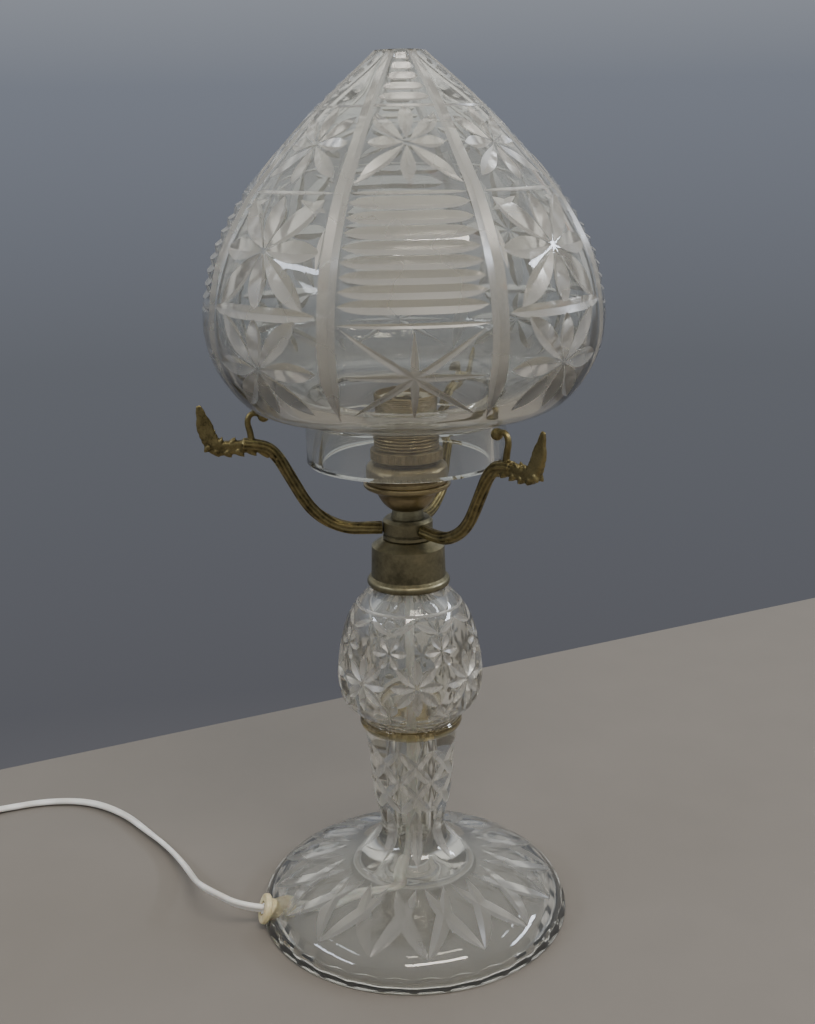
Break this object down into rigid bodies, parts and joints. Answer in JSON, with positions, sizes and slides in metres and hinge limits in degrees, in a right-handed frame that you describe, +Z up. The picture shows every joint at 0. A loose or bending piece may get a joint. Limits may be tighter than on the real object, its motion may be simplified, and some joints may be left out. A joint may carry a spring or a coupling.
{
  "type": "table lamp",
  "caption": "Cut-crystal electric table lamp: acorn shade lifts off three cast brass arms, glass stem and domed foot, small screw lampholder, flat twin flex with inline switch and plug.",
  "frame": {"origin": "centre of the foot's rim on the table, on the lamp's axis", "axes": "+Z up the lamp's axis, -Y towards the front, +X to the right seen from the front; the flex leaves on the left, -X"},
  "size_m": [0.4211, 0.189, 0.386],
  "materials": {
    "cut_crystal": "gloss",
    "ivory_plastic": "satin",
    "tarnished_brass": "satin",
    "antique_brass": "satin",
    "holder_brass": "satin",
    "plaster": "matte",
    "porcelain": "gloss",
    "steel": "satin",
    "white_pvc": "satin",
    "nickel": "polished"
  },
  "bodies": {
    "lamp": {"glass_base": "cut_crystal", "cord_bushing": "ivory_plastic", "stem_cap": "tarnished_brass", "cap_plaster": "plaster", "threaded_tube": "holder_brass", "tube_nut": "steel", "arm_hub": "antique_brass", "shade_arm_left": "antique_brass", "shade_arm_right": "antique_brass", "shade_arm_back": "antique_brass", "holder_dome": "holder_brass", "holder_flange_ring": "holder_brass", "holder_body": "holder_brass", "holder_insulator": "porcelain", "screw_shell": "nickel", "centre_contact": "nickel", "terminal_screws": "steel", "inner_flex": "white_pvc", "cord_lead": "white_pvc", "cord_mid": "white_pvc", "cord_coil": "white_pvc", "cord_tail": "white_pvc", "switch_base": "white_pvc", "switch_cover": "white_pvc", "rocker_pin": "steel", "switch_screws": "steel", "plug_body": "white_pvc", "plug_pins": "nickel"},
    "shade": {"shade": "cut_crystal"},
    "screw_ring": {"holder_screw_ring": "holder_brass"},
    "rocker": {"switch_rocker": "white_pvc"}
  },
  "joints": [
    {"name": "shade_lift", "type": "slide", "parent": "lamp", "child": "shade", "axis": [0, 0, 1], "range_m": [0, 0.08]},
    {"name": "screw_ring_turn", "type": "hinge", "parent": "lamp", "child": "screw_ring", "pos_m": [0, 0, 0.222], "axis": [0, 0, 1], "continuous": true},
    {"name": "rocker_tip", "type": "hinge", "parent": "lamp", "child": "rocker", "pos_m": [-0.28732, 0.05581, 0.0106], "axis": [-0.5446, 0.8387, 0], "range_deg": [0, 14]}
  ]
}
